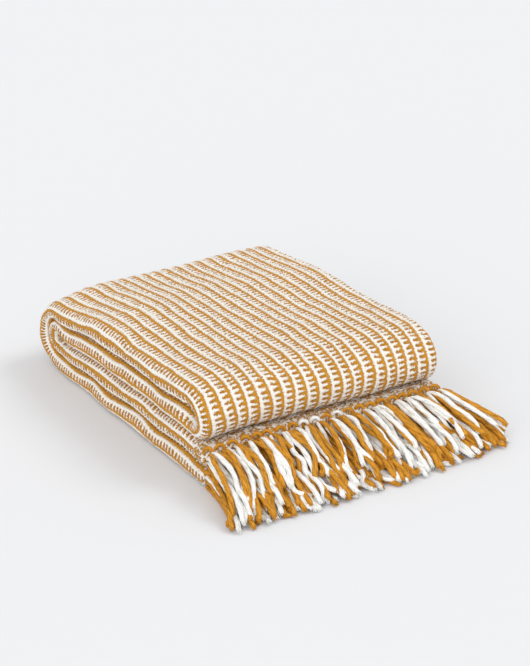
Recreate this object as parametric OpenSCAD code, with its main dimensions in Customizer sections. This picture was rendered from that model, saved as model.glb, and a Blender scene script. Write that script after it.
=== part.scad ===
// Folded throw blanket with a tasselled fringe.
// The woven cloth is folded lengthwise into a strip of four plies. The strip is folded across into
// four leaves, with the two fringed ends at the front. X runs along the fringe, -Y is the front,
// Z is up, and the origin is at the middle of the underside of the whole box.

/* [Folded cloth] */
// Width of the folded strip, a quarter of the woven width
leaf_w = 325; // [240:5:420]
// Depth of the folded throw, from the front curl to the back wrap
leaf_d = 425; // [330:5:560]
// Thickness of one ply of the woven cloth
ply_t = 6.5; // [5:0.25:9]
// How far the middle lower leaf's fringed end stands out past the front curl
upper_lip = 8; // [5:0.5:16]
// How far the bottom leaf's fringed end stands out past the front curl
lower_lip = 2; // [0:0.5:4]
// Smallest bend radius inside a crease
crease_r = 0.5; // [0.3:0.1:1.5]
// Height of the slit between the two halves that open like a book
slit = 0.3; // [0.3:0.1:1]

/* [Fringe] */
// Tassels along one ply's end
tassel_count = 21; // [11:1:27]
// Distance from the strip's side to the middle of the first tassel
tassel_margin = 8; // [7:0.5:14]
// Gap between neighbouring tassels at the edge
tassel_gap = 2; // [1.8:0.1:3]
// How much narrower a tassel is at its tip
tip_narrowing = 2; // [0:0.25:4]
// Thickness of a top tassel at its tip
tip_t = 5.5; // [3:0.25:8]
// How far the top row reaches out from its edge cord
top_reach = 86; // [60:1:110]
// How far the rows under it reach out from the middle lower leaf
under_reach = 94; // [70:1:120]
// Height of each row of tassels where the tips lie on one another
tip_layer = 2.4; // [1.8:0.1:4]
// Air between one row of tassels and the next
row_gap = 0.8; // [0.6:0.1:1.2]
// Sideways sweep of the leftmost tassel's tip
sweep_left = 38; // [0:1:45]
// Sideways sweep of the rightmost tassel's tip
sweep_right = 56; // [0:1:65]

/* [Edge cord] */
// Diameter of the yarn that the top tassels are looped over
cord_d = 3.2; // [2:0.1:4]
// Radial clearance between that yarn and a tassel's eye
eye_play = 0.1; // [0.05:0.05:0.2]
// Gap between a tassel's eye and the cloth behind it
eye_gap = 0.8; // [0.5:0.1:2]
// Diameter of the stitches that tie the edge cord to the cloth
stitch_d = 1.2; // [0.8:0.1:1.4]

/* [Hidden] */
ochre = "#C8842A";
cream = "#F5F1EA";
shaded = "#A56B22";
$fn = 64;
plies = 4; // plies in one leaf
pairs = plies / 2; // folded pairs of plies at the open side
curve_steps = 8; // straight steps along a drooping tassel
sweep_power = 10; // how quickly the sideways sweep dies away from the two ends
droop_power = 1.2; // how late a tassel droops
eye_share = 0.6; // a tassel's eye is this share of a ply's thickness in radius

leaf_t = plies * ply_t;
lower_top = 2 * leaf_t; // top of the half that stays down
upper_base = lower_top + slit; // underside of the half that opens

fold_y = leaf_d / 2 - 2 * leaf_t; // middle of the two nested back folds
curl_y = -leaf_d / 2 + leaf_t; // middle of the front curl
upper_end_y = -leaf_d / 2 - upper_lip; // fringed end of the middle lower leaf
lower_end_y = -leaf_d / 2 - lower_lip; // fringed end of the bottom leaf

eye_r = eye_share * ply_t;
eye_y = upper_end_y - eye_gap - eye_r;
eye_z = lower_top - ply_t / 2;
tassel_pitch = (leaf_w - 2 * tassel_margin) / (tassel_count - 1);
tassel_w = tassel_pitch - tassel_gap;
top_row = 2 * plies - 1; // rows count up from 0 on the surface that the throw lies on
tip_y = min(eye_y - top_reach, upper_end_y - under_reach);

// The geometry above is centred on the folded strip. These move the box's middle to the origin.
reach_left = leaf_w / 2 - tassel_margin + sweep_left + (tassel_w - tip_narrowing) / 2;
reach_right = leaf_w / 2 - tassel_margin + sweep_right + (tassel_w - tip_narrowing) / 2;
shift_x = (max(reach_left, leaf_w / 2) - max(reach_right, leaf_w / 2)) / 2;
shift_y = -(leaf_d / 2 + tip_y) / 2;

function two_digits(k) = str(k < 10 ? "0" : "", k);
function tassel_name(k) = str("tassel_", two_digits(k));
function tassel_x(k) = -leaf_w / 2 + tassel_margin + (k - 1) * tassel_pitch;
function along(k) = (k - 1) / (tassel_count - 1);
function sweep(k) = sweep_right * pow(along(k), sweep_power) - sweep_left * pow(1 - along(k), sweep_power);
function droop(t) = pow(max(0, t), droop_power);
function mix(a, b, s) = a * (1 - s) + b * s;
function layer_z(row, t) = row * mix(ply_t, tip_layer, droop(t));
function row_name(row) = row < plies
    ? str("lower_fringe_", row + 1)
    : str("upper_fringe_", row - plies + 1);

// Section of the folded strip, with its thickness along the first axis and its width along the
// second: one thick round fold at the left, and a round fold for each pair of plies at the right.
module strip_section(t = leaf_t) {
    fold_r = t / 2;
    pair_r = fold_r / pairs;
    translate([fold_r, fold_r - leaf_w / 2])
        circle(r = fold_r);
    translate([0, fold_r - leaf_w / 2])
        square([t, leaf_w - fold_r - pair_r]);
    for (i = [0 : pairs - 1])
        translate([pair_r * (2 * i + 1), leaf_w / 2 - pair_r])
            circle(r = pair_r);
}

// A flat stretch of the strip, from y0 to y1, lying on height z
module leaf(y0, y1, z) {
    translate([shift_x, shift_y + y0, z])
        rotate([0, -90, -90])
            linear_extrude(y1 - y0)
                strip_section();
}

// A bend of the strip about a line along X at y, z, from angle a0 to a1 above +Y
module bend(y, z, r0, r1, a0, a1) {
    translate([shift_x, shift_y + y, z])
        rotate([90, 0, 90])
            rotate([0, 0, a0])
                rotate_extrude(angle = a1 - a0)
                    translate([r0, 0])
                        strip_section(r1 - r0);
}

module bottom_leaf() {
    color(ochre) leaf(lower_end_y, fold_y, 0);
}

module middle_lower_leaf() {
    color(cream) leaf(upper_end_y, fold_y, leaf_t);
}

module middle_upper_leaf() {
    color(ochre) leaf(curl_y, fold_y, upper_base);
}

module top_leaf() {
    color(cream) leaf(curl_y, fold_y, upper_base + leaf_t);
}

module back_wrap_lower() {
    color(ochre) bend(fold_y, lower_top, leaf_t, 2 * leaf_t, -90, 0);
}

module back_wrap_upper() {
    color(cream) bend(fold_y, upper_base, leaf_t, 2 * leaf_t, 0, 90);
}

module back_fold_lower() {
    color(cream) bend(fold_y, lower_top, crease_r, leaf_t, -90, 0);
}

module back_fold_upper() {
    color(ochre) bend(fold_y, upper_base, crease_r, leaf_t, 0, 90);
}

module front_curl() {
    color(cream) bend(curl_y, upper_base + leaf_t, crease_r, leaf_t, 90, 270);
}

// An upright side view, given as points in Y and Z, drawn out along X
module side_view(points) {
    reach = leaf_w + sweep_left + sweep_right;
    rotate([90, 0, 90])
        linear_extrude(2 * reach, center = true)
            polygon(points);
}

// Plan of tassel k from y0 to y1, drawn out along Z
module tassel_plan(k, y0, y1) {
    x0 = tassel_x(k);
    x1 = x0 + sweep(k);
    tip_w = tassel_w - tip_narrowing;
    linear_extrude(2 * lower_top)
        polygon([
            [x0 - tassel_w / 2, y0], [x1 - tip_w / 2, y1],
            [x1 + tip_w / 2, y1], [x0 + tassel_w / 2, y0],
        ]);
}

// One whole row of tassels that lies under the top row, each tassel a solid of its own
module under_row(row) {
    y0 = row < plies ? lower_end_y : upper_end_y;
    y1 = upper_end_y - under_reach;
    steps = [for (i = [0 : curve_steps]) mix(y0, y1, i / curve_steps)];
    share = [for (y = steps) (upper_end_y - y) / under_reach];
    over = [for (i = [0 : curve_steps]) [steps[i], layer_z(row + 1, share[i]) - row_gap]];
    under = [for (i = [curve_steps : -1 : 0]) [steps[i], layer_z(row, share[i])]];
    color(row % 2 == 0 ? ochre : cream)
        translate([shift_x, shift_y, 0])
            for (k = [1 : tassel_count])
                intersection() {
                    side_view(concat(over, under));
                    tassel_plan(k, y0, y1);
                }
}

// One tassel of the top row, with the eye that turns on the edge cord
module tassel(k) {
    root_t = 1.9 * eye_r;
    tip_z = layer_z(top_row, 1) + row_gap + tip_t / 2;
    steps = [for (i = [0 : curve_steps]) i / curve_steps];
    middle = [for (t = steps) mix(eye_z, tip_z, droop(t))];
    half = [for (t = steps) mix(root_t, tip_t, t) / 2];
    over = [for (i = [0 : curve_steps]) [eye_y - steps[i] * top_reach, middle[i] + half[i]]];
    under = [for (i = [curve_steps : -1 : 0]) [eye_y - steps[i] * top_reach, middle[i] - half[i]]];
    color(k % 2 == 0 ? ochre : cream)
        translate([shift_x, shift_y, 0])
            difference() {
                union() {
                    intersection() {
                        side_view(concat(over, under));
                        tassel_plan(k, eye_y, eye_y - top_reach);
                    }
                    eye_line(tassel_x(k) - tassel_w / 2, tassel_w, eye_r);
                }
                eye_line(tassel_x(k) - tassel_w, 2 * tassel_w, cord_d / 2 + eye_play);
            }
}

// A cylinder along the line that the top tassels turn on
module eye_line(x, length, r) {
    translate([x, eye_y, eye_z])
        rotate([0, 90, 0])
            cylinder(h = length, r = r);
}

// The yarn along the top ply's end, with a stitch back to the cloth beside each tassel
module edge_cord() {
    stitch_x0 = tassel_x(1) - tassel_pitch / 2;
    color(shaded)
        translate([shift_x, shift_y, 0]) {
            eye_line(stitch_x0, tassel_count * tassel_pitch, cord_d / 2);
            for (k = [0 : tassel_count])
                translate([stitch_x0 + k * tassel_pitch, upper_end_y, eye_z])
                    rotate([90, 0, 0])
                        cylinder(h = upper_end_y - eye_y, d = stitch_d);
        }
}

bottom_leaf();
middle_lower_leaf();
middle_upper_leaf();
top_leaf();
back_wrap_lower();
back_wrap_upper();
back_fold_lower();
back_fold_upper();
front_curl();
edge_cord();
for (row = [0 : top_row - 1])
    under_row(row);
for (k = [1 : tassel_count])
    tassel(k);
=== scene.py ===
"""Folded throw blanket: a chunky ladder-rib weave in ochre and cream wool, with a tasselled fringe.

The throw is one strip of cloth of four plies. It is folded into four leaves, so the cloth is drawn by
sweeping the outline of the strip along the fold path, one stretch after another, and by raising the
spines and rungs of the weave on it. The fringe is drawn strand by strand.
"""

import logging
import math
from dataclasses import dataclass, field
from enum import Enum

import bpy
import numpy as np
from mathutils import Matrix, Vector


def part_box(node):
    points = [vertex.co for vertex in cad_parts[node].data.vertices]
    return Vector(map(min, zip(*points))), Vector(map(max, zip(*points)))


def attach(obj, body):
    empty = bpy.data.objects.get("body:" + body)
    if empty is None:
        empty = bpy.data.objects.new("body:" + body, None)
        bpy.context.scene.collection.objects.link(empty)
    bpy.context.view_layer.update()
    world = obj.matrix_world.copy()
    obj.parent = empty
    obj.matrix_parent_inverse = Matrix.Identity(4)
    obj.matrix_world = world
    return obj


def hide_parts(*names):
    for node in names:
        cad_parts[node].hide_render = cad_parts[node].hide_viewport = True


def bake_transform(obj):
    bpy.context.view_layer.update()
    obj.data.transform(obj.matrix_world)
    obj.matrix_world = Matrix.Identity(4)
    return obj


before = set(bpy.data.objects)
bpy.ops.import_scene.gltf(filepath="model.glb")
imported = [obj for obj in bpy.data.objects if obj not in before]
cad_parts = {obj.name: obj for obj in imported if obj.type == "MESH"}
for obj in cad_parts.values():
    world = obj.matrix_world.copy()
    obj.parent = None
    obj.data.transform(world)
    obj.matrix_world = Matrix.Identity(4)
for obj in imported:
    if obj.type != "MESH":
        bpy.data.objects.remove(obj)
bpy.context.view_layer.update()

LOG = logging.getLogger("throw")
MM = 0.001
TAU = 2 * math.pi

LOWER = "lower_half"
UPPER = "upper_half"
TASSEL_WIDTH = 13.45 * MM


class Slot(Enum):
    """Names for the throw's materials."""

    CLOTH = "woven_cloth"
    FRINGE = "fringe_yarn"
    EDGE = "edge_yarn"


class Dye(Enum):
    """The two yarns, by the letter that stands for them in a tassel's colours."""

    CREAM = "c"
    OCHRE = "o"


DYE_SLOTS = {dye.value: slot for slot, dye in enumerate(Dye)}


# ---------------------------------------------------------------- small helpers


def linear(code: str) -> tuple[float, float, float, float]:
    """Turn an sRGB hex code to a linear colour.

    Args:
        code: six hex digits, such as "C8842A".

    Returns:
        Red, green, blue and an alpha of 1.
    """
    parts = [int(code[i : i + 2], 16) / 255 for i in (0, 2, 4)]
    made = [p / 12.92 if p <= 0.04045 else ((p + 0.055) / 1.055) ** 2.4 for p in parts]
    return made[0], made[1], made[2], 1.0


def add_node(tree: bpy.types.NodeTree, kind: str, inputs: dict | None = None, **settings) -> bpy.types.Node:
    """Add a node with its settings, values and links.

    Args:
        tree: the node tree that gets it.
        kind: the node's type name.
        inputs: a value or a linked socket for each input, by name or number.
        settings: properties of the node.

    Returns:
        The new node.
    """
    node = tree.nodes.new(kind)
    for key, value in settings.items():
        setattr(node, key, value)
    for key, value in (inputs or {}).items():
        if isinstance(value, bpy.types.NodeSocket):
            tree.links.new(value, node.inputs[key])
        else:
            node.inputs[key].default_value = value
    return node


def figure(tree: bpy.types.NodeTree, operation: str, *values, clamp: bool = False) -> bpy.types.NodeSocket:
    """Work out a number from values or sockets, with a Math node."""
    inputs = dict(enumerate(values))
    return add_node(tree, "ShaderNodeMath", inputs, operation=operation, use_clamp=clamp).outputs[0]


def remap(
    tree: bpy.types.NodeTree,
    value: bpy.types.NodeSocket,
    source: tuple[float, float],
    target: tuple[float, float] = (0.0, 1.0),
    **settings,
) -> bpy.types.NodeSocket:
    """Map a number from a source range to a target range."""
    inputs = {0: value, 1: source[0], 2: source[1], 3: target[0], 4: target[1]}
    return add_node(tree, "ShaderNodeMapRange", inputs, **settings).outputs[0]


def scaled(
    tree: bpy.types.NodeTree, vector: bpy.types.NodeSocket, across: float, along: float
) -> bpy.types.NodeSocket:
    """Scale map coordinates across and along."""
    inputs = {0: vector, 1: (across, along, 1.0)}
    return add_node(tree, "ShaderNodeVectorMath", inputs, operation="MULTIPLY").outputs[0]


def noise(
    tree: bpy.types.NodeTree, vector: bpy.types.NodeSocket, scale: float, detail: float, rough: float
) -> bpy.types.Node:
    """Add a noise texture and give its node, with a number and then a colour as outputs."""
    inputs = {"Vector": vector, "Scale": scale, "Detail": detail, "Roughness": rough}
    return add_node(tree, "ShaderNodeTexNoise", inputs)


def between(
    tree: bpy.types.NodeTree,
    share: bpy.types.NodeSocket,
    low: tuple | bpy.types.NodeSocket,
    high: tuple | bpy.types.NodeSocket,
) -> bpy.types.NodeSocket:
    """Mix two colours by a share."""
    return add_node(tree, "ShaderNodeMix", {0: share, 6: low, 7: high}, data_type="RGBA").outputs[2]


def finish_wool(
    tree: bpy.types.NodeTree,
    colour: bpy.types.NodeSocket,
    roughness: float,
    height: bpy.types.NodeSocket,
    strength: float,
    distance: float,
) -> None:
    """Give wool its soft matt skin.

    Args:
        tree: the material's node tree.
        colour: the yarns' colour.
        roughness: how matt it is.
        height: the fibres' relief.
        strength: how strongly the relief shows.
        distance: how high it is, in metres.
    """
    relief = {"Height": height, "Strength": strength, "Distance": distance}
    bump = add_node(tree, "ShaderNodeBump", relief).outputs[0]
    skin = add_node(
        tree,
        "ShaderNodeBsdfPrincipled",
        {
            "Base Color": colour,
            "Roughness": roughness,
            "IOR": 1.45,
            "Specular IOR Level": 0.25,
            "Sheen Weight": 0.03,
            "Sheen Roughness": 0.6,
            "Normal": bump,
        },
    ).outputs[0]
    add_node(tree, "ShaderNodeOutputMaterial", {0: skin})


def smooth_step(value: np.ndarray, low: float, high: float) -> np.ndarray:
    """Rise smoothly from 0 at low to 1 at high."""
    t = np.clip((value - low) / (high - low), 0, 1)
    return t * t * (3 - 2 * t)


def wander(a: np.ndarray, b: np.ndarray, wave: float, seed: int) -> np.ndarray:
    """Give smooth seeded noise, as hand-woven cloth wanders.

    Args:
        a: first coordinate in metres.
        b: second coordinate in metres.
        wave: typical distance from one crest to the next, in metres.
        seed: picks the pattern.

    Returns:
        Values mostly from -1 to 1.
    """
    rng = np.random.default_rng(seed)
    total = np.zeros(np.broadcast(a, b).shape)
    waves = 6
    for _ in range(waves):
        angle, phase = rng.uniform(0, TAU, 2)
        pace = TAU / wave * rng.uniform(0.6, 1.5)
        total += np.sin(pace * (a * math.cos(angle) + b * math.sin(angle)) + phase)
    return total / math.sqrt(waves)


@dataclass
class MeshMaker:
    """Gathers grids of points and turns them into one smooth mesh object."""

    name: str
    points: list = field(default_factory=list)
    faces: list = field(default_factory=list)
    marks: list = field(default_factory=list)
    slots: list = field(default_factory=list)
    count: int = 0

    def add_grid(self, points: np.ndarray, uv: np.ndarray, slot: int = 0, flip: bool = False) -> None:
        """Add an open grid.

        Args:
            points: rows x columns x 3 positions in metres.
            uv: rows x columns x 2 map coordinates.
            slot: material slot of its faces.
            flip: turn the faces over.
        """
        rows, columns = points.shape[:2]
        index = np.arange(rows * columns).reshape(rows, columns) + self.count
        corners = [index[:-1, :-1], index[:-1, 1:], index[1:, 1:], index[1:, :-1]]
        if flip:
            corners = corners[::-1]
        faces = np.stack(corners, axis=-1).reshape(-1, 4)
        self.points.append(points.reshape(-1, 3))
        self.marks.append(uv.reshape(-1, 2))
        self.faces.append(faces)
        self.slots.append(np.full(len(faces), slot))
        self.count += rows * columns

    def build(self, materials: list) -> bpy.types.Object:
        """Make the object.

        Args:
            materials: one for each material slot.

        Returns:
            The new mesh object, linked to the scene.
        """
        points = np.concatenate(self.points).astype(np.float32)
        faces = np.concatenate(self.faces).astype(np.int32)
        marks = np.concatenate(self.marks).astype(np.float32)
        mesh = bpy.data.meshes.new(self.name)
        mesh.vertices.add(len(points))
        mesh.vertices.foreach_set("co", points.ravel())
        mesh.loops.add(faces.size)
        mesh.loops.foreach_set("vertex_index", faces.ravel())
        mesh.polygons.add(len(faces))
        mesh.polygons.foreach_set("loop_start", np.arange(0, faces.size, 4, dtype=np.int32))
        mesh.polygons.foreach_set("material_index", np.concatenate(self.slots).astype(np.int32))
        mesh.update(calc_edges=True)
        mesh.shade_smooth()
        layer = mesh.uv_layers.new(name="UVMap")
        layer.uv.foreach_set("vector", marks[faces.ravel()].ravel())
        for material in materials:
            mesh.materials.append(material)
        mesh.validate()
        made = bpy.data.objects.new(self.name, mesh)
        bpy.context.scene.collection.objects.link(made)
        LOG.info("%s: %d faces", self.name, len(faces))
        return made


# ---------------------------------------------------------------- sizes from the frame


@dataclass(frozen=True)
class FoldPlan:
    """Where the folded cloth lies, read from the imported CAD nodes, in metres."""

    left: float
    right: float
    bottom_front: float
    lip_front: float
    curl_y: float
    fold_y: float
    leaf: float
    lower_top: float
    upper_base: float
    top: float

    @classmethod
    def from_frame(cls) -> "FoldPlan":
        """Read the plan from the boxes of the leaves."""
        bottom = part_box("bottom_leaf")
        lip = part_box("middle_lower_leaf")
        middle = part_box("middle_upper_leaf")
        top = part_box("top_leaf")
        return cls(
            left=bottom[0][0],
            right=bottom[1][0],
            bottom_front=bottom[0][1],
            lip_front=lip[0][1],
            curl_y=top[0][1],
            fold_y=top[1][1],
            leaf=bottom[1][2] - bottom[0][2],
            lower_top=lip[1][2],
            upper_base=middle[0][2],
            top=top[1][2],
        )

    @property
    def split(self) -> float:
        """Height of the slit between the two halves."""
        return (self.lower_top + self.upper_base) / 2


# ---------------------------------------------------------------- how the stack settles


@dataclass(frozen=True)
class Settling:
    """How the stack of soft leaves leaves its square shape: a crown, drooping sides and uneven creases."""

    plan: FoldPlan
    crown: float = 9.7 * MM  # how far the layers puff up between the folds
    crown_front: float = 52 * MM  # how far behind the curl's front the crown is full
    crown_back: float = 122 * MM  # how far before the back folds it starts to fall
    crown_dip: float = 0.17  # how much less it is in the middle
    side_droop: float = 6 * MM  # how much lower the top is at the left fold
    side_start: float = 90 * MM  # how far in from the left the droop starts
    back_droop: float = 11 * MM  # what the back left corner droops more
    back_start: float = 150 * MM
    right_rise: float = 3 * MM  # the thick folds of each pair lift the right side
    right_start: float = 150 * MM
    right_tuck: float = 3 * MM  # how far the curl is drawn in at the right
    hollow: float = 7.5 * MM  # how far the slits stand open beside the folds' centres
    hollow_long: float = 9 * MM
    hollow_high: float = 9 * MM
    dimple: float = 9 * MM  # how deep the folds' centres are drawn in at the left
    dimple_wide: float = 10 * MM
    dimple_rays: int = 7  # creases that run out from a fold's centre
    crease_wave: float = 1.6 * MM  # up and down wander of the creases at the left
    side_wave: float = 1.3 * MM  # in and out wander of the folds

    def apply(self, points: np.ndarray) -> np.ndarray:
        """Move points as the stack settles.

        Args:
            points: an array that ends in x, y, z, in metres.

        Returns:
            The moved copy.
        """
        plan = self.plan
        x, y, z = points[..., 0], points[..., 1], points[..., 2]
        high = np.clip(z / plan.top, 0, 1.1)
        middle = 4 * high * (1 - high)
        left = smooth_step(-x, -(plan.left + self.side_start), -plan.left + 4 * MM)
        right = smooth_step(x, plan.right - self.right_start, plan.right - 10 * MM)
        back = smooth_step(y, plan.fold_y - self.back_start, plan.fold_y + 52 * MM)
        front_edge = plan.curl_y - 23 * MM
        full = smooth_step(y, front_edge, front_edge + self.crown_front)
        full = full * (1 - smooth_step(y, plan.fold_y - self.crown_back, plan.fold_y + 4 * MM))
        full = full * (1 - self.crown_dip * np.exp(-(((y - 5 * MM) / (45 * MM)) ** 2)))
        puff = self.crown * full * high**2
        behind = smooth_step(y, front_edge, front_edge + 60 * MM)
        puff = puff + self.right_rise * right * behind * high**2 * (1.3 - 0.82 * full)  # most at the ends
        drop = (self.side_droop + self.back_droop * back) * left**1.5 * high**1.5
        crease = self.crease_wave * left * wander(y, z * 0.3, 150 * MM, 11) * np.minimum(1, middle * 1.6)
        uneven = 0.9 * MM * wander(x, y, 190 * MM, 12) * high
        out = self.side_wave * wander(y, z * 1.6, 120 * MM, 13) * np.clip(middle + 0.3, 0, 1)
        made = points.copy()
        tuck = self.right_tuck * right * (1 - smooth_step(y, front_edge, plan.curl_y + 30 * MM))
        parted, drawn_in = self.hollows(x, y, z)
        made[..., 0] = x + out * (right - left) - tuck + drawn_in
        made[..., 2] = z + puff - drop + crease + uneven + parted
        return made

    def hollows(self, x: np.ndarray, y: np.ndarray, z: np.ndarray) -> tuple[np.ndarray, np.ndarray]:
        """Part the slits beside the inner back fold and the curl, where the left side shows dark hollows.

        Returns:
            How far each point moves up, and how far it moves in from the left.
        """
        plan = self.plan
        left = smooth_step(-x, -plan.left - 85 * MM, -plan.left - 40 * MM)
        parted = np.zeros(np.shape(z))
        drawn_in = np.zeros(np.shape(z))
        inner_fold = (plan.fold_y - 6 * MM, plan.split, 1.0)
        curl = (plan.curl_y + 8 * MM, plan.top - plan.leaf, 0.7)
        for place, slit, share in (inner_fold, curl):
            near = np.exp(-(((y - place) / self.hollow_long) ** 2))
            near = near * np.exp(-np.abs(z - slit) / self.hollow_high)
            parted = parted + share * np.sign(z - slit) * near
            round_off = np.exp(-((y - place) ** 2 + (z - slit) ** 2) / self.dimple_wide**2)
            rays = np.cos(self.dimple_rays * np.arctan2(z - slit, y - place) + 0.6)
            round_off = round_off * (0.72 + 0.28 * rays)
            drawn_in = drawn_in + share * round_off
        return self.hollow * left * parted, self.dimple * left * drawn_in


# ---------------------------------------------------------------- the weave


@dataclass(frozen=True)
class Weave:
    """The ladder-rib weave: a cream spine, interlocking rungs and an ochre spine in each rib.

    Map coordinates count ribs across and rungs along, so the relief and the dye follow the same lines.
    """

    rib: float = 15.66 * MM  # from one ochre spine to the next
    rung: float = 6.8 * MM  # one ochre and one cream rung
    start: float = -158.2 * MM  # where a rib starts, at its cream spine's left side
    cream_end: float = 0.27  # shares of a rib, from its left side
    ochre_start: float = 0.80
    share_middle: float = 0.44  # share of the rungs' pitch that is ochre, midway between the spines
    share_slope: float = 0.09  # how much it grows from there to the ochre spine
    share_step: float = 0.49  # how it opens into the ochre spine and closes at the cream one
    share_power: float = 9.0
    cream_spine: float = 2.7 * MM  # the cream yarn is the fuller one and stands higher
    ochre_spine: float = 2.3 * MM
    cream_rung: float = 2.2 * MM
    ochre_rung: float = 1.1 * MM
    inset: float = 2.3 * MM  # how far the ground of the weave lies inside the strip
    fuzz: float = 0.20 * MM  # unevenness of the fluffy yarn
    plain_pace: float = 0.8  # how much closer the rungs lie in the plain band by the fringe

    def marks(self, across: np.ndarray, along: np.ndarray, plain_from: float = math.inf) -> np.ndarray:
        """Turn distances on the cloth into map coordinates, with the wander of a hand loom.

        Args:
            across: distance over the strip, in metres.
            along: distance along the strip, in metres.
            plain_from: distance along where the plain band by the fringe starts.

        Returns:
            Ribs and rungs, stacked on a last axis.
        """
        ribs = (across - self.start) / self.rib
        ribs = ribs + 0.05 * wander(across, along, 70 * MM, 21)
        ribs = ribs + 0.06 * wander(across, along * 0.3, 60 * MM, 22)
        rungs = along / self.rung
        rungs = rungs + 0.14 * wander(across, along, 60 * MM, 23) + 0.05 * wander(across, along, 16 * MM, 24)
        plain = smooth_step(along, plain_from, plain_from + 8 * MM) if plain_from < math.inf else 0.0
        loose = 0.30 * wander(across, along, 13 * MM, 26) + 0.22 * wander(across, along, 6 * MM, 27)
        ribs = ribs + plain * loose
        rungs = rungs + self.plain_pace * np.maximum(along - plain_from, 0) / self.rung
        rungs = rungs + plain * 0.35 * wander(across, along, 8 * MM, 28)
        return np.stack([ribs, rungs], axis=-1)

    def ochre_share(self, place: np.ndarray) -> np.ndarray:
        """Share of the rungs' pitch that is ochre, at a place across the rib from 0 to 1."""
        t = 2 * (place - self.cream_end) / (self.ochre_start - self.cream_end) - 1
        step = self.share_step * np.sign(t) * np.abs(t) ** self.share_power
        return self.share_middle + self.share_slope * t + step

    def relief(self, marks: np.ndarray) -> np.ndarray:
        """Height of the yarns over the strip's surface.

        Args:
            marks: map coordinates from marks().

        Returns:
            Heights in metres, from minus the inset up.
        """
        ribs, rungs = marks[..., 0], marks[..., 1]
        place = ribs - np.floor(ribs)
        turn = rungs - np.floor(rungs)
        cream = place / self.cream_end * 2 - 1
        ochre = (place - self.ochre_start + 0.04) / (1.04 - self.ochre_start) * 2 - 1
        beat = 0.90 + 0.10 * np.cos(TAU * turn)
        spine = np.maximum(1 - cream**2, 0) ** 0.6 * beat * self.cream_spine
        spine = np.maximum(spine, np.maximum(1 - ochre**2, 0) ** 0.6 * (1.9 - beat) * self.ochre_spine)
        share = np.clip(self.ochre_share(place), 0, 1)
        off = np.abs(turn - 0.5) * 2
        on_ochre = np.maximum(1 - (off / np.maximum(share, 0.05)) ** 2, 0) ** 0.5 * np.minimum(share * 2.4, 1)
        on_cream = (
            np.maximum(1 - ((1 - off) / np.maximum(1 - share, 0.05)) ** 2, 0) ** 0.35
            * np.minimum((1 - share) * 2.4, 1)
        )
        rung = np.maximum(on_ochre * self.ochre_rung, on_cream * self.cream_rung)
        inside = (place > self.cream_end * 0.8) & (place < self.ochre_start + 0.05)
        height = np.maximum(spine, np.where(inside, rung, 0))
        uneven = 1 + 0.09 * wander(ribs, rungs, 3.1, 25)
        fluff = np.random.default_rng(26).normal(0, self.fuzz, height.shape)
        return height * uneven + fluff - self.inset


# ---------------------------------------------------------------- outline and stretches of the strip


@dataclass(frozen=True)
class OutlinePoints:
    """Points round the strip's outline: place across, place through, normal, distance, and fineness."""

    x: np.ndarray
    n: np.ndarray
    normal_x: np.ndarray
    normal_n: np.ndarray
    across: np.ndarray
    fine: np.ndarray


@dataclass(frozen=True)
class StripOutline:
    """The strip's outline: one thick fold at the left, a folded pair and two selvedges at the right."""

    plan: FoldPlan
    fine: float = 1.24 * MM
    coarse: float = 12 * MM

    def points(self, front_fine: bool, back_fine: bool) -> OutlinePoints:
        """Sample the outline.

        Args:
            front_fine: True if the side that faces out of the fold path is fine.
            back_fine: True if the other side is fine.

        Returns:
            The sampled points, from the groove at the right and over the front side.
        """
        plan = self.plan
        half = plan.leaf / 2
        pair, edge = half / 2, half / 4
        left, right = plan.left + half, plan.right
        pieces = []
        across = right - pair + math.pi * pair

        def arc(cx: float, cn: float, r: float, a0: float, a1: float, start: float) -> float:
            """Add a round edge, and give the distance across at its end."""
            steps = max(4, round(abs(a1 - a0) * r / self.fine))
            a = np.linspace(a0, a1, steps + 1)
            away = np.abs(a - a0) * r
            pieces.append([cx + r * np.cos(a), cn + r * np.sin(a), np.cos(a), np.sin(a), start - away, True])
            return start - abs(a1 - a0) * r

        def face(x0: float, x1: float, n: float, is_fine: bool, start: float) -> float:
            """Add a flat side, and give the distance across at its end."""
            steps = round(abs(x1 - x0) / (self.fine if is_fine else self.coarse))
            x = np.linspace(x0, x1, steps + 1)
            one = np.ones_like(x)
            pieces.append([x, n * one, 0 * one, np.sign(n) * one, start - np.abs(x - x0), is_fine])
            return start - abs(x1 - x0)

        across = arc(right - pair, pair, pair, -math.pi / 2, math.pi / 2, across)
        across = face(right - pair, left, half, front_fine, across)
        across = arc(left, 0, half, math.pi / 2, 3 * math.pi / 2, across)
        across = face(left, right - edge, -half, back_fine, across)
        across = arc(right - edge, -3 * edge, edge, -math.pi / 2, math.pi / 2, across)
        arc(right - edge, -edge, edge, -math.pi / 2, math.pi / 2, across)
        columns = []
        for k in range(5):
            shared = [piece[k][:-1] for piece in pieces[:-1]]
            columns.append(np.concatenate([*shared, pieces[-1][k]]))
        fine = []
        for i, p in enumerate(pieces):
            flags = np.full(len(p[0]) - (i < len(pieces) - 1), 1.0 if p[5] else 0.0)
            fine.append(flags)
        return OutlinePoints(*columns, np.concatenate(fine))


@dataclass(frozen=True)
class PathRows:
    """Rows along the fold path: the strip's middle, its front side's direction, and the distance."""

    y: np.ndarray
    z: np.ndarray
    normal_y: np.ndarray
    normal_z: np.ndarray
    along: np.ndarray
    squeeze: np.ndarray


@dataclass(frozen=True)
class Stretch:
    """One stretch of the folded cloth between two fold lines."""

    name: str
    nodes: tuple[str, ...]
    rows: PathRows
    length: float  # along the strip's middle
    front_fine: bool = True
    back_fine: bool = False
    plain_end: float = 0.0  # length of the plain band at its last row


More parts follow.
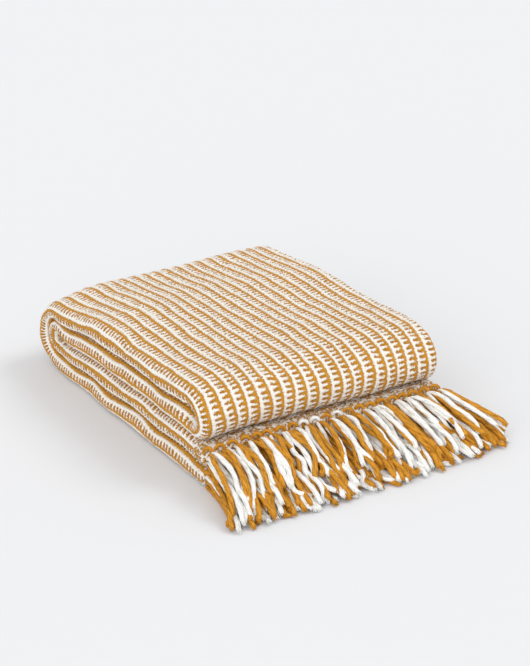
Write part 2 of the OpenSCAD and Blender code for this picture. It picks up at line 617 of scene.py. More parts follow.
@dataclass(frozen=True)
class FoldPath:
    """The whole route of the strip, from the bottom leaf's end to the middle lower leaf's end."""

    plan: FoldPlan
    step: float
    nose: float = 5.5 * MM  # how much of an end is rounded off
    plain_band: float = 34 * MM  # band of plain weave that binds the cloth's end

    def straight(self, y0: float, y1: float, z: float, side: int, along: float) -> PathRows:
        """Rows of a flat stretch.

        Args:
            y0: where it starts.
            y1: where it ends.
            z: height of the strip's middle.
            side: 1 if the front side faces up, -1 if it faces down.
            along: distance along the cloth at y0.

        Returns:
            The rows.
        """
        count = round(abs(y1 - y0) / self.step)
        y = np.linspace(y0, y1, count + 1)
        one = np.ones_like(y)
        return PathRows(y, z * one, 0 * one, side * one, along + np.abs(y - y0), one)

    def bend(
        self, y: float, z: float, a0: float, a1: float, radius: float, outward: int, along: float
    ) -> PathRows:
        """Rows of a bend about a line along X.

        Args:
            y: the line's place.
            z: the line's height.
            a0: angle over +Y where it starts.
            a1: angle where it ends.
            radius: to the strip's middle.
            outward: 1 if the front side faces away from the line, -1 if it faces it.
            along: distance along the cloth at a0, measured on the bend's outer side.

        Returns:
            The rows.
        """
        outer = radius + self.plan.leaf / 2
        count = round(abs(a1 - a0) * outer / self.step)
        a = np.linspace(a0, a1, count + 1)
        one = np.ones_like(a)
        return PathRows(
            y + radius * np.cos(a),
            z + radius * np.sin(a),
            outward * np.cos(a),
            outward * np.sin(a),
            along + np.abs(a - a0) * outer,
            one,
        )

    def with_nose(self, rows: PathRows, at_start: bool) -> PathRows:
        """Round off a fringed end.

        Args:
            rows: the stretch that ends in a fringe.
            at_start: True if its first row is that end.

        Returns:
            The rows with the end drawn in.
        """
        place = np.abs(rows.y - (rows.y[0] if at_start else rows.y[-1]))
        share = np.clip(1 - place / self.nose, 0, 1)
        squeeze = np.sqrt(np.maximum(1 - share**2, 0.004))
        return PathRows(rows.y, rows.z, rows.normal_y, rows.normal_z, rows.along, squeeze)

    def stretches(self) -> list[Stretch]:
        """Work out the stretches in the order of the cloth."""
        plan = self.plan
        half = plan.leaf / 2
        quarter = math.pi / 2
        outer_r = plan.leaf + half
        inner_r = half + (plan.split - plan.lower_top) + 0.35 * MM
        outer_arc = math.pi * (outer_r + half)
        inner_arc = math.pi * (inner_r + half)
        long_leaf = plan.fold_y - plan.curl_y
        bottom = plan.fold_y - plan.bottom_front
        lip = plan.fold_y - plan.lip_front
        at = [0, bottom]
        at.append(at[-1] + outer_arc)
        at.append(at[-1] + long_leaf)
        at.append(at[-1] + inner_arc)
        at.append(at[-1] + long_leaf)
        at.append(at[-1] + inner_arc)
        top_z = plan.top - half
        low = self.straight(plan.bottom_front, plan.fold_y, half, -1, at[0])
        high = self.straight(plan.fold_y, plan.lip_front, plan.lower_top - half, 1, at[6])
        return [
            Stretch("bottom_leaf_cloth", ("bottom_leaf",), self.with_nose(low, True), bottom),
            Stretch(
                "back_wrap_cloth",
                ("back_wrap_lower", "back_wrap_upper"),
                self.bend(plan.fold_y, plan.split, -quarter, quarter, outer_r, 1, at[1]),
                math.pi * outer_r,
            ),
            Stretch(
                "top_leaf_cloth",
                ("top_leaf",),
                self.straight(plan.fold_y, plan.curl_y, top_z, 1, at[2]),
                long_leaf,
            ),
            Stretch(
                "front_curl_cloth",
                ("front_curl",),
                self.bend(plan.curl_y, plan.top - plan.leaf, quarter, 3 * quarter, inner_r, 1, at[3]),
                math.pi * inner_r,
            ),
            Stretch(
                "middle_upper_cloth",
                ("middle_upper_leaf",),
                self.straight(plan.curl_y, plan.fold_y, plan.upper_base + half, -1, at[4]),
                long_leaf,
            ),
            Stretch(
                "back_fold_cloth",
                ("back_fold_lower", "back_fold_upper"),
                self.bend(plan.fold_y, plan.split, quarter, -quarter, inner_r, -1, at[5]),
                math.pi * inner_r,
            ),
            Stretch(
                "middle_lower_cloth",
                ("middle_lower_leaf",),
                self.with_nose(high, False),
                lip,
                plain_end=self.plain_band,
            ),
        ]


@dataclass
class FoldedCloth:
    """The woven cloth: every stretch of the folded strip."""

    plan: FoldPlan
    settling: Settling
    weave: Weave
    strip_width: float = 1.30  # woven width, folded into four plies
    ply_step: float = 12 * MM

    def surface(self, stretch: Stretch, outline: OutlinePoints) -> tuple[np.ndarray, np.ndarray]:
        """Sweep the outline along a stretch and raise the weave on it.

        Args:
            stretch: the stretch to draw.
            outline: its sampled outline.

        Returns:
            Positions and map coordinates, both rows x columns.
        """
        rows = stretch.rows
        across, along = np.meshgrid(outline.across, rows.along)
        plain_from = rows.along[-1] - stretch.plain_end if stretch.plain_end else math.inf
        marks = self.weave.marks(across, along, plain_from)
        raised = np.where(outline.fine > 0.5, self.weave.relief(marks), -self.weave.inset * 0.4)
        through = (outline.n + raised * outline.normal_n) * rows.squeeze[:, None]
        points = np.empty(across.shape + (3,))
        points[..., 0] = outline.x + raised * outline.normal_x
        points[..., 1] = rows.y[:, None] + through * rows.normal_y[:, None]
        points[..., 2] = rows.z[:, None] + through * rows.normal_z[:, None]
        return self.settling.apply(points), marks

    def inner_plies(self, stretch: Stretch) -> tuple[np.ndarray, np.ndarray]:
        """Draw the two plies that lie hidden inside a stretch, joined by the inner fold at the left.

        Args:
            stretch: the stretch that they lie in.

        Returns:
            Positions and map coordinates, both rows x columns, coarser than the surface's.
        """
        plan = self.plan
        ply = plan.leaf / 4
        left, right = plan.left + plan.leaf / 2, plan.right - ply
        run = np.arange(right, left, -self.ply_step)
        angle = np.linspace(math.pi / 2, 3 * math.pi / 2, 7)
        x = np.concatenate([run, left + ply / 2 * np.cos(angle), run[::-1]])
        n = np.concatenate([0 * run + ply / 2, ply / 2 * np.sin(angle), 0 * run - ply / 2])
        across = np.concatenate([[0], np.cumsum(np.hypot(np.diff(x), np.diff(n)))])
        rows = stretch.rows
        keep = np.unique(np.linspace(0, len(rows.y) - 1, max(8, len(rows.y) // 8)).astype(int))
        y, z = rows.y[keep, None], rows.z[keep, None]
        through = n[None, :] * rows.squeeze[keep, None]
        points = np.empty((len(keep), len(x), 3))
        points[..., 0] = x
        points[..., 1] = y + through * rows.normal_y[keep, None]
        points[..., 2] = z + through * rows.normal_z[keep, None]
        grid = np.meshgrid(across, rows.along[keep])
        return self.settling.apply(points), self.weave.marks(*grid)

    def build(self, stretches: list[Stretch], material: bpy.types.Material) -> dict[str, bpy.types.Object]:
        """Make every stretch and hide the CAD nodes that it stands for.

        Args:
            stretches: the stretches of the fold path.
            material: the woven cloth's material.

        Returns:
            The pieces by name.
        """
        outlines = StripOutline(self.plan)
        made = {}
        for stretch in stretches:
            maker = MeshMaker(stretch.name)
            outline = outlines.points(stretch.front_fine, stretch.back_fine)
            maker.add_grid(*self.surface(stretch, outline))
            maker.add_grid(*self.inner_plies(stretch))
            piece = maker.build([material])
            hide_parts(*stretch.nodes)
            made[stretch.name] = piece
        return made

    def attach(self, pieces: dict[str, bpy.types.Object]) -> None:
        """Let each stretch ride on its half, and leave the two back folds unparented in world space."""
        for name in ("bottom_leaf_cloth", "middle_lower_cloth"):
            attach(pieces[name], LOWER)
        for name in ("top_leaf_cloth", "front_curl_cloth", "middle_upper_cloth"):
            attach(pieces[name], UPPER)
        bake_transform(pieces["back_wrap_cloth"])
        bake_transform(pieces["back_fold_cloth"])


# ---------------------------------------------------------------- yarn strands


@dataclass(frozen=True)
class Yarn:
    """A thick soft yarn of three loosely twisted plies, drawn as a lobed tube."""

    radius: float = 3.1 * MM
    flat: float = 0.80  # height over width, as the strands lie pressed
    sides: int = 12
    step: float = 1.7 * MM
    plies: int = 3
    lobe: float = 0.035  # how deep the grooves between the plies are
    pitch: float = 48 * MM  # length of one turn of the twist
    fray: float = 9 * MM  # length of the loosened end
    fluff: float = 0.045  # unevenness of its surface, as a share of the radius

    def resample(self, knots: np.ndarray) -> np.ndarray:
        """Draw a smooth line through points, at the yarn's step.

        Args:
            knots: the points that it passes near, in metres.

        Returns:
            Evenly spaced points.
        """
        ends = np.concatenate([[2 * knots[0] - knots[1]], knots, [2 * knots[-1] - knots[-2]]])
        line = []
        for k in range(1, len(ends) - 2):
            t = np.linspace(0, 1, 24, endpoint=False)[:, None]
            a, b, c, d = ends[k - 1], ends[k], ends[k + 1], ends[k + 2]
            line.append(
                0.5
                * (
                    2 * b
                    + (c - a) * t
                    + (2 * a - 5 * b + 4 * c - d) * t**2
                    + (3 * b - a - 3 * c + d) * t**3
                )
            )
        line = np.concatenate([*line, knots[-1:]])
        gone = np.concatenate([[0], np.cumsum(np.linalg.norm(np.diff(line, axis=0), axis=1))])
        count = max(6, round(gone[-1] / self.step))
        at = np.linspace(0, gone[-1], count + 1)
        return np.stack([np.interp(at, gone, line[:, i]) for i in range(3)], axis=1)

    def add(
        self,
        maker: MeshMaker,
        knots: np.ndarray,
        slot: int,
        rng: np.random.Generator,
        frayed: bool = True,
        neck: float = 1.0,
    ) -> None:
        """Add one strand to a mesh.

        Args:
            maker: the mesh that gets it.
            knots: points on its route.
            slot: material slot of its dye.
            rng: source of its small unevenness.
            frayed: True for a cut end that opens into fibres.
            neck: how thick it is at its root, where a loop binds it.
        """
        line = self.resample(knots)
        gone = np.arange(len(line)) * self.step
        left = gone[-1] - gone
        ahead = np.gradient(line, axis=0)
        ahead /= np.linalg.norm(ahead, axis=1)[:, None]
        side = np.array([1.0, 0, 0]) - ahead * ahead[:, :1]
        side /= np.linalg.norm(side, axis=1)[:, None]
        lift = np.cross(side, ahead)
        phase = rng.uniform(0, TAU)
        slow, quick = TAU * gone / (31 * MM) + phase, TAU * gone / (13 * MM) + 2 * phase
        swell = 1 + 0.07 * np.sin(slow) + 0.04 * np.sin(quick)
        loose = smooth_step(-left, -self.fray, 0) if frayed else np.zeros(len(line))
        blunt = np.sqrt(np.clip(left / (1.6 * MM), 0.0009, 1))
        start = np.sqrt(np.clip(gone / (1.6 * MM), 0.0009, 1))
        bound = neck + (1 - neck) * smooth_step(gone, 4 * MM, 20 * MM)
        radius = self.radius * swell * (1 + 0.08 * loose) * blunt * start * bound
        angle = np.linspace(0, TAU, self.sides + 1)[None, :]
        turn = TAU * gone / self.pitch + phase
        depth = self.lobe * (1 + 3.0 * loose)
        lobed = 1 + depth[:, None] * np.cos(self.plies * (angle - turn[:, None]))
        fluff = rng.normal(0, self.fluff, lobed.shape)
        fluff[:, -1] = fluff[:, 0]
        ring = radius[:, None] * (lobed + fluff)
        points = (
            line[:, None, :]
            + (ring * np.cos(angle))[..., None] * side[:, None, :]
            + (ring * np.sin(angle) * self.flat)[..., None] * lift[:, None, :]
        )
        uv = np.stack(np.broadcast_arrays(angle / TAU, gone[:, None] / self.pitch + phase), axis=-1)
        maker.add_grid(points, uv, slot, flip=True)
        if frayed:
            self.add_fibres(maker, line[-1], ahead[-1], side[-1], slot, rng)

    def add_fibres(
        self,
        maker: MeshMaker,
        tip: np.ndarray,
        ahead: np.ndarray,
        side: np.ndarray,
        slot: int,
        rng: np.random.Generator,
        count: int = 10,
    ) -> None:
        """Add the short loose fibres of a cut end.

        Args:
            maker: the mesh that gets them.
            tip: the end of the strand's middle.
            ahead: direction that the strand ends in.
            side: direction across it.
            slot: material slot of its dye.
            rng: source of their unevenness.
            count: how many there are.
        """
        lift = np.cross(side, ahead)
        angle = np.linspace(0, TAU, 5)[None, :]
        for k in range(count):
            around = TAU * (k + rng.uniform(0, 0.8)) / count
            spread = rng.uniform(0.25, 1.0)
            away = math.cos(around) * side + math.sin(around) * self.flat * lift
            base = tip + away * self.radius * 0.75 * spread - ahead * 3.0 * MM
            long = rng.uniform(3.2, 5.2) * MM
            t = np.linspace(0, 1, 4)[:, None]
            middle = base + ahead * long * t + away * long * 0.12 * spread * t**2
            middle[:, 2] = np.maximum(middle[:, 2], 0.6 * MM)
            ring = (0.95 * MM * (1 - 0.7 * t**2))[..., None]
            shape = np.cos(angle)[..., None] * side + np.sin(angle)[..., None] * lift
            points = middle[:, None, :] + ring * shape
            uv = np.stack(np.broadcast_arrays(angle / TAU, t * 0.3), axis=-1)
            maker.add_grid(points, uv, slot, flip=True)


# ---------------------------------------------------------------- fringe


@dataclass(frozen=True)
class TasselLook:
    """How one tassel of the top row lies: its strands' dyes from left to right, and its tip's shift."""

    dyes: str
    lean: float  # sideways shift of the tip in millimetres
    spread: float = 1.0  # how far its strands part
    drop: float = 0.0  # how much lower its tip lies, in millimetres
    reach: float = 0.0  # how much further its tip reaches, in millimetres


TOP_ROW = (
    TasselLook("oco", -15, 0.9, 18, 10),
    TasselLook("ooc", -13, 1.1, 13, 8),
    TasselLook("coco", -6, 1.2, 2),
    TasselLook("oco", -8, 1.0, 0),
    TasselLook("occo", -8, 1.1, 0),
    TasselLook("coo", -10, 1.0, 1),
    TasselLook("coco", -6, 1.1, 0),
    TasselLook("occ", -5, 0.9, 2),
    TasselLook("coo", -9, 1.1, 4),
    TasselLook("coc", -12, 1.0, 3),
    TasselLook("occ", -4, 1.1, 0),
    TasselLook("oocc", 0, 1.2, 0),
    TasselLook("ooc", 2, 1.0, 0),
    TasselLook("occ", 5, 1.0, 1),
    TasselLook("ccoc", 8, 1.1, 0),
    TasselLook("oooo", 10, 1.1, 1),
    TasselLook("ccc", 14, 1.1, 2),
    TasselLook("ccoc", 17, 1.2, 0),
    TasselLook("coc", 16, 1.1, 0),
    TasselLook("cco", 21, 1.2, 1),
    TasselLook("occo", 40, 1.9, 0),
)


def root_middle(look: TasselLook, low: np.ndarray, high: np.ndarray) -> float:
    """Middle of a tassel's root, from its CAD box: a swept tassel's box grows only towards its tip."""
    return low[0] + TASSEL_WIDTH / 2 if look.lean > 0 else high[0] - TASSEL_WIDTH / 2


@dataclass
class TopTassels:
    """The top row of tassels, each on its own body and looped under the edge yarn."""

    plan: FoldPlan
    settling: Settling
    yarn: Yarn = Yarn()
    tip_high: float = 24 * MM  # of the strands' tips over the surface
    width: float = 13.4 * MM  # over a tassel's strands, before they part
    neck: float = 0.62  # how thin the knot draws a strand at its root

    def knots(
        self,
        look: TasselLook,
        index: int,
        of: int,
        low: np.ndarray,
        high: np.ndarray,
        rng: np.random.Generator,
    ) -> np.ndarray:
        """Route one strand.

        Args:
            look: how the tassel lies.
            index: which strand, from the left.
            of: how many strands the tassel has.
            low: the low corner of the tassel's CAD box.
            high: its high corner.
            rng: source of the strand's small differences.

        Returns:
            Points from root to tip.
        """
        middle = root_middle(look, low, high)
        place = (index + 0.5) / of - 0.5
        layer = (1 if index % 2 else -1) * rng.uniform(0.4, 1.3)
        reach = high[1] - low[1] + look.reach * MM - rng.uniform(4, 30) * MM
        lean = look.lean * MM + rng.uniform(-7, 7) * MM
        end = max(self.tip_high - look.drop * MM + layer * 1.6 * MM, 3.4 * MM)
        top = self.plan.lower_top - 2.2 * MM
        bow = rng.normal(0, 4.6) * MM / look.spread**2
        wave = rng.normal(0, 1.9) * MM
        share = np.array([0.0, 0.10, 0.28, 0.50, 0.72, 0.90, 1.0])
        x = middle + place * self.width * (0.34 + 0.78 * look.spread * np.sqrt(share)) + lean * share**1.7
        x = x + bow * np.sin(math.pi * share) + wave * np.sin(TAU * share) * share
        x = x + rng.normal(0, 1.0, len(share)) * MM * (share > 0.2)
        x[-1] += rng.normal(0, 2.5) * MM
        y = high[1] + 1 * MM - (reach + 5 * MM) * (share - 0.10 * share**4)
        rise = np.array([-2.5, 1.6, 1.2, 0.2, 0.0, 0.0, 0.0]) * MM
        fall = 0.34 * share + 0.66 * share**3
        z = top + rise - (top - end) * fall + layer * 2.6 * MM * np.sin(math.pi * np.minimum(share * 1.3, 1))
        return np.stack([x, y, z], axis=1)

    def build(self, materials: list) -> None:
        """Make the tassels and hand each to its body."""
        for number, look in enumerate(TOP_ROW, start=1):
            node = f"tassel_{number:02d}"
            low, high = (np.array(corner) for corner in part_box(node))
            rng = np.random.default_rng(300 + number)
            maker = MeshMaker(f"{node}_strands")
            for index, dye in enumerate(look.dyes):
                knots = self.knots(look, index, len(look.dyes), low, high, rng)
                knots = self.settling.apply(knots)
                self.yarn.add(maker, knots, DYE_SLOTS[dye], rng, neck=self.neck)
            piece = maker.build(materials)
            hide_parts(node)
            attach(piece, node)


@dataclass
class UnderRows:
    """The seven rows of tassels under the top row, from the other plies of both fringed ends."""

    plan: FoldPlan
    settling: Settling
    yarn: Yarn = Yarn(radius=3.0 * MM, sides=9, step=3 * MM, fray=8 * MM)
    tassels: int = 21
    strands: int = 2
    lie: float = 1.9 * MM  # rise from one row to the next where the tips lie on one another
    inset: float = 8 * MM  # how far the outer tassels stand in from the cloth's sides
    tip_y: float = -262 * MM  # where the strands end, before their small differences
    lowest: float = 2.7 * MM  # of a strand's middle, as it lies on the surface
    hooked: float = 0.25  # share of the strands whose tips turn back
    cream_upper: float = 0.44  # share of the strands that are cream, by leaf
    cream_lower: float = 0.58

    def add_row(self, maker: MeshMaker, row: int, upper: bool, seed: int) -> None:
        """Add the strands of one row.

        Args:
            maker: the row's mesh.
            row: 0 for the row nearest the surface that the throw lies on.
            upper: True for a row of the middle lower leaf.
            seed: picks its unevenness.
        """
        plan = self.plan
        rng = np.random.default_rng(seed)
        ply = plan.leaf / 4
        root_z = ply * (row + 0.5)
        root_y = (plan.lip_front if upper else plan.bottom_front) + 2 * MM
        first, last = plan.left + self.inset, plan.right - self.inset
        for k in range(self.tassels):
            root_x = first + (last - first) * k / (self.tassels - 1)
            along = k / (self.tassels - 1)
            sweep = (30 * along**9 - 15 * (1 - along) ** 9 + 8 * (along - 0.35)) * MM
            for s in range(self.strands):
                place = ((s + 0.5) / self.strands - 0.5) * 12 * MM
                end_y = self.tip_y + rng.uniform(-10, 16) * MM - (0 if upper else 3 * MM) + 15 * MM * along**4
                end_z = 2.9 * MM + rng.uniform(0, 1) ** 1.5 * (row + 1) * self.lie
                end_x = root_x + place * 1.2 + sweep + rng.normal(0, 8.0) * MM
                share = np.array([0, 0.2, 0.45, 0.7, 0.88, 1.0])
                curl = rng.uniform() < self.hooked
                hook = rng.normal(0, 9) * MM if curl else rng.normal(0, 2) * MM
                kept = np.array([1, 0.80, 0.68, 0.58, 0.36, 0] if upper else [1, 0.86, 0.76, 0.64, 0.38, 0])
                x = root_x + place + (end_x - root_x - place) * share**1.5
                x[-1] += hook
                y = root_y + (end_y - root_y) * share
                y[-1] += 6 * MM if curl else 0
                z = end_z + (root_z - end_z) * kept
                z = np.maximum(z + rng.normal(0, 0.5, 6) * MM, self.lowest)
                slot = 0 if rng.uniform() < (self.cream_upper if upper else self.cream_lower) else 1
                slot = 0 if k == 0 and row > 4 else slot
                self.yarn.add(maker, np.stack([x, y, z], axis=1), slot, rng)

    def build(self, materials: list) -> dict[str, list]:
        """Make the seven rows, which all ride on the lower half.

        Returns:
            The rows by the stretch of cloth that they belong to.
        """
        rows = {"bottom_leaf_cloth": [], "middle_lower_cloth": []}
        plies = 4
        for row in range(2 * plies - 1):
            upper = row >= plies
            node = f"upper_fringe_{row - plies + 1}" if upper else f"lower_fringe_{row + 1}"
            maker = MeshMaker(f"{node}_strands")
            self.add_row(maker, row, upper, 500 + row)
            piece = maker.build(materials)
            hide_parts(node)
            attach(piece, LOWER)
            rows["middle_lower_cloth" if upper else "bottom_leaf_cloth"].append(piece)
        return rows


@dataclass
class EdgeYarn:
    """The yarn along the end of the top ply, which arches over the root of each tassel."""

    plan: FoldPlan
    settling: Settling
    yarn: Yarn = Yarn(radius=2.1 * MM, flat=1.0, sides=10, step=1.2 * MM)
    half_span: float = 4.8 * MM
    arch: float = 5.0 * MM
    shift: float = -3.0 * MM  # the arches stand left of the roots
    behind: float = 3.0 * MM  # how far behind the eyes they stand, clear of a tassel that is lifted
    cream_arches: tuple[int, ...] = (9, 10, 12)

    def build(self, materials: list) -> bpy.types.Object:
        """Make the arches as one piece on the lower half."""
        maker = MeshMaker("edge_yarn_arches")
        rng = np.random.default_rng(71)
        for number in range(1, len(TOP_ROW) + 1):
            low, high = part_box(f"tassel_{number:02d}")
            middle = root_middle(TOP_ROW[number - 1], low, high)
            a = np.linspace(-0.15, math.pi + 0.15, 9)
            x = middle + self.shift - self.half_span * np.cos(a) + rng.normal(0, 0.8) * MM
            z = self.plan.lower_top - 4.0 * MM + (self.arch + 1.4 * MM) * np.sin(a)
            y = high[1] + self.behind + 2.0 * MM * np.cos(a) + rng.normal(0, 0.4) * MM
            knots = self.settling.apply(np.stack([x, y, z], axis=1))
            self.yarn.add(maker, knots, 0 if number in self.cream_arches else 1, rng, frayed=False)
        piece = maker.build(materials)
        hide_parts("edge_cord")
        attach(piece, LOWER)
        return piece


# ---------------------------------------------------------------- finishes


def fresh_tree(name: str) -> tuple[bpy.types.Material, bpy.types.NodeTree]:
    """Make an empty node material."""
    material = bpy.data.materials.new(name)
    material.use_nodes = True
    material.node_tree.nodes.clear()
    return material, material.node_tree


@dataclass(frozen=True)
class WovenWool:
    """Wool-blend cloth woven of thick soft yarn. It is matt, with a pale haze of fibre ends on the crest of
    each yarn.
    Painted shade darkens the gaps where the yarns pass under one another; random mottling varies the yarn's
    tone."""

    weave: Weave
    cream: str = "F9FAF9"
    ochre: str = "D99A22"
    # Painted shade: the two darker colours below paint shade into the gaps between rungs and between ribs,
    # and give the random mottling its darker tone.
    cream_gap_shade_and_mottle: str = "D2B27C"
    ochre_gap_shade_and_mottle: str = "84490A"
    roughness: float = 0.92
    low_rung_shade: float = 0.50  # painted shade: how much darker the ochre rungs are coloured towards their left ends, where they lie low
    stray: float = 8.5  # how far the yarns' edges stray, as millimetres of noise
    mottling: float = 0.46  # how much the yarn's tone varies at random
    more_at_left: float = 0.14  # how much more ochre the rungs show round the left fold
    fibre: float = 0.35 * MM  # height of the fibre relief; real fibres are finer than the render shows

    def material(self) -> bpy.types.Material:
        """Build the material."""
        material, tree = fresh_tree("woven_wool_ladder_rib")
        weave = self.weave
        uv = add_node(tree, "ShaderNodeUVMap", uv_map="UVMap").outputs[0]
        rib, rung = weave.rib / MM, weave.rung / MM
        in_mm = scaled(tree, uv, rib, rung)
        cloud = noise(tree, in_mm, 0.55, 3.0, 0.85).outputs[1]
        centre = {0: cloud, 1: (0.5, 0.5, 0.5)}
        stray = add_node(tree, "ShaderNodeVectorMath", centre, operation="SUBTRACT").outputs[0]
        shift = {0: stray, 1: (self.stray / rib, self.stray / rung, 0.0), 2: uv}
        warped = add_node(tree, "ShaderNodeVectorMath", shift, operation="MULTIPLY_ADD").outputs[0]
        parts = add_node(tree, "ShaderNodeSeparateXYZ", {0: warped})
        place = figure(tree, "FRACT", parts.outputs[0])
        turn = figure(tree, "FRACT", parts.outputs[1])

        # Across the rib from -1 at the cream spine to 1 at the ochre one, and the rungs' ochre share there.
        across = remap(tree, place, (weave.cream_end, weave.ochre_start), (-1.0, 1.0), clamp=False)
        size = figure(tree, "ABSOLUTE", across)
        steep = figure(tree, "POWER", size, weave.share_power)
        bent = figure(tree, "MULTIPLY", steep, figure(tree, "SIGN", across))
        lean = figure(tree, "MULTIPLY_ADD", across, weave.share_slope, weave.share_middle)
        share = figure(tree, "MULTIPLY_ADD", bent, weave.share_step, lean)
        off = figure(tree, "MULTIPLY", figure(tree, "ABSOLUTE", figure(tree, "SUBTRACT", turn, 0.5)), 2.0)
        at_left = remap(tree, parts.outputs[0], (-0.9, 0.1), (self.more_at_left, 0.0))
        edge = figure(tree, "ADD", figure(tree, "SUBTRACT", share, off), at_left)
        dyed = remap(tree, edge, (-0.12, 0.12), interpolation_type="SMOOTHSTEP")

        # Painted shade in the gaps between rungs and between ribs, mixed with random mottling of the yarn's
        # tone.
        crest = remap(tree, figure(tree, "ABSOLUTE", edge), (0.0, 0.24), interpolation_type="SMOOTHSTEP")
        groove = figure(tree, "MINIMUM", place, figure(tree, "SUBTRACT", 1.0, place))
        ridge = remap(tree, groove, (0.0, 0.05), interpolation_type="SMOOTHSTEP")
        out_of_gap_shade = figure(tree, "MULTIPLY", crest, ridge)
        uneven = remap(tree, noise(tree, in_mm, 0.6, 4.0, 0.8).outputs[0], (0.3, 0.7), (0.0, self.mottling))
        gap_shade_and_mottling = figure(tree, "SUBTRACT", out_of_gap_shade, uneven, clamp=True)
        # Painted shade: the ochre rungs are coloured darker towards their low left ends.
        low_rung_shade = remap(tree, across, (-1.0, 1.1), (self.low_rung_shade, 0.0))
        raised = figure(tree, "SUBTRACT", gap_shade_and_mottling, low_rung_shade, clamp=True)
        cream = between(tree, gap_shade_and_mottling, linear(self.cream_gap_shade_and_mottle), linear(self.cream))
        ochre = between(tree, raised, linear(self.ochre_gap_shade_and_mottle), linear(self.ochre))
        colour = between(tree, dyed, cream, ochre)

        # Fibres run along the spines and across the rungs.
        along_rung = scaled(tree, uv, rib * 0.5, rung * 2.6)
        along_spine = scaled(tree, uv, rib * 2.6, rung * 0.5)
        on_spine = figure(tree, "GREATER_THAN", size, 1.0)
        choice = {0: on_spine, 4: along_rung, 5: along_spine}
        grain = add_node(tree, "ShaderNodeMix", choice, data_type="VECTOR").outputs[1]
        fibres = noise(tree, grain, 0.9, 4.0, 0.65).outputs[0]
        finish_wool(tree, colour, self.roughness, fibres, 0.9, self.fibre * 3)
        return material


@dataclass(frozen=True)
class FringeWool:
    """Loosely spun wool-blend yarn of three plies, cut and left to fray. It looks soft and matt, with fine
    lengthwise fibres.
    Painted shade makes it a little darker in the grooves of its twist, mixed with random mottling."""

    name: str
    colour: str
    # painted shade colour for the twist's grooves, also the darker tone of the random mottling
    groove: str
    roughness: float = 0.9

    def material(self) -> bpy.types.Material:
        """Build the material."""
        material, tree = fresh_tree(self.name)
        uv = add_node(tree, "ShaderNodeUVMap", uv_map="UVMap").outputs[0]
        parts = add_node(tree, "ShaderNodeSeparateXYZ", {0: uv})
        turned = figure(tree, "SUBTRACT", parts.outputs[0], parts.outputs[1])
        # The twist's grooves are painted darker as shade, mixed with fibre noise and random mottling.
        lobes = figure(tree, "COSINE", figure(tree, "MULTIPLY", turned, 3 * TAU))
        fibres = noise(tree, scaled(tree, uv, 16.0, 5.0), 1.0, 4.0, 0.6).outputs[0]
        depth = figure(tree, "MULTIPLY_ADD", lobes, 0.05, fibres)
        mottle = noise(tree, scaled(tree, uv, 19.0, 48.0), 0.8, 3.0, 0.8).outputs[0]
        twist_shade_and_mottling = figure(tree, "MULTIPLY_ADD", mottle, 0.8, depth)
        full = remap(tree, twist_shade_and_mottling, (0.66, 1.02), interpolation_type="SMOOTHSTEP")
        colour = between(tree, full, linear(self.groove), linear(self.colour))
        finish_wool(tree, colour, self.roughness, depth, 0.8, 0.5 * MM)
        return material


@dataclass(frozen=True)
class StudioPaper:
    """Matt white seamless paper. It looks flat and clean, with hardly any gloss."""

    colour: str = "E1E2E4"
    roughness: float = 0.95

    def material(self) -> bpy.types.Material:
        """Build the material."""
        material, tree = fresh_tree("studio_paper")
        skin = add_node(
            tree,
            "ShaderNodeBsdfPrincipled",
            {"Base Color": linear(self.colour), "Roughness": self.roughness, "Specular IOR Level": 0.1},
        ).outputs[0]
        add_node(tree, "ShaderNodeOutputMaterial", {0: skin})
        return material


# ---------------------------------------------------------------- studio


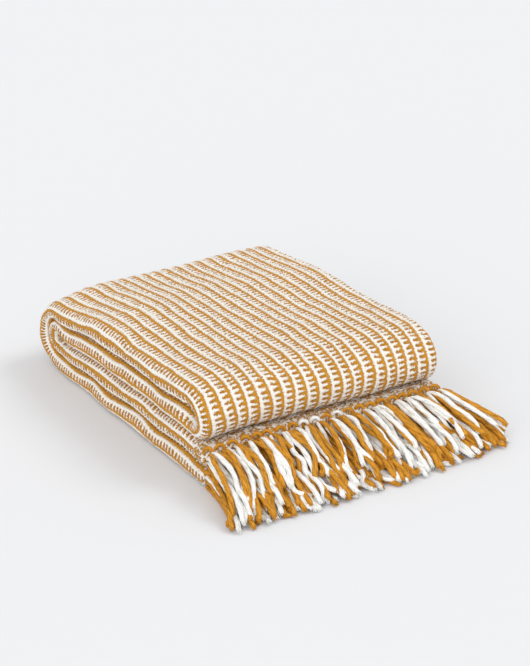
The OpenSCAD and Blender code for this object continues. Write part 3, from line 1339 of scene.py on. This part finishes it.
@dataclass
class Studio:
    """The floor, the lights and the camera."""

    camera_place: tuple[float, float, float] = (-1.0684, -1.7517, 0.9551)
    look_down: float = 22.81  # degrees below level
    azimuth: float = -31.60  # degrees, with 0 looking along +Y
    lens: float = 125.8
    floor_size: float = 14.0
    sky: float = 0.78
    key: float = 0.82
    fill: float = 1.62

    def build(self) -> None:
        """Make the stage, which isn't part of the throw."""
        scene = bpy.context.scene
        scene.view_settings.view_transform = "Standard"
        scene.view_settings.look = "None"
        self.floor()
        self.lights()
        data = bpy.data.cameras.new("camera")
        data.lens = self.lens
        data.sensor_fit = "HORIZONTAL"
        data.sensor_width = 36
        data.clip_end = 60
        camera = bpy.data.objects.new("camera", data)
        camera.location = self.camera_place
        camera.rotation_euler = (math.radians(90 - self.look_down), 0, math.radians(self.azimuth))
        scene.collection.objects.link(camera)
        scene.camera = camera

    def floor(self) -> None:
        """Lay a wide sheet of paper under the throw."""
        half = self.floor_size / 2
        mesh = bpy.data.meshes.new("floor")
        corners = [(-half, -half, 0), (half, -half, 0), (half, half, 0), (-half, half, 0)]
        mesh.from_pydata(corners, [], [(0, 1, 2, 3)])
        mesh.materials.append(StudioPaper().material())
        floor = bpy.data.objects.new("floor", mesh)
        bpy.context.scene.collection.objects.link(floor)

    def lights(self) -> None:
        """Light the set with an even sky, a soft light from the right and a broad one from the left."""
        world = bpy.data.worlds.new("sky")
        world.use_nodes = True
        world.node_tree.nodes["Background"].inputs["Color"].default_value = (1, 1, 1, 1)
        world.node_tree.nodes["Background"].inputs["Strength"].default_value = self.sky
        bpy.context.scene.world = world
        self.soft_sun("key", self.key, 30, (0.75, -0.35, 0.9))
        self.soft_sun("fill", self.fill, 60, (-0.88, -0.78, 0.50))

    def soft_sun(self, name: str, energy: float, width: float, origin: tuple[float, float, float]) -> None:
        """Add a broad far light.

        Args:
            name: the lamp's name.
            energy: its strength.
            width: its apparent width in degrees.
            origin: direction that it comes from.
        """
        data = bpy.data.lights.new(name, "SUN")
        data.energy = energy
        data.angle = math.radians(width)
        lamp = bpy.data.objects.new(name, data)
        lamp.rotation_euler = Vector(origin).to_track_quat("Z", "Y").to_euler()
        bpy.context.scene.collection.objects.link(lamp)


# ---------------------------------------------------------------- main


def main() -> None:
    """Build the throw and its set."""
    logging.basicConfig(level=logging.INFO, format="%(name)s %(message)s")
    plan = FoldPlan.from_frame()
    settling = Settling(plan)
    weave = Weave()
    Studio().build()
    cloth = FoldedCloth(plan, settling, weave)
    stretches = FoldPath(plan, step=weave.rung / 5).stretches()
    pieces = cloth.build(stretches, WovenWool(weave).material())
    yarns = [
        # The second colour of each yarn is painted shade for the grooves of its twist, also used for random
        # mottling.
        FringeWool("cream_fringe_wool", "F1F2F0", "C6C2B8").material(),
        FringeWool("ochre_fringe_wool", "D0912A", "84520F").material(),
    ]
    rows = UnderRows(plan, settling).build(yarns)
    TopTassels(plan, settling).build(yarns)
    rows["middle_lower_cloth"].append(EdgeYarn(plan, settling).build(yarns))
    cloth.attach(pieces)


if __name__ == "__main__":
    main()
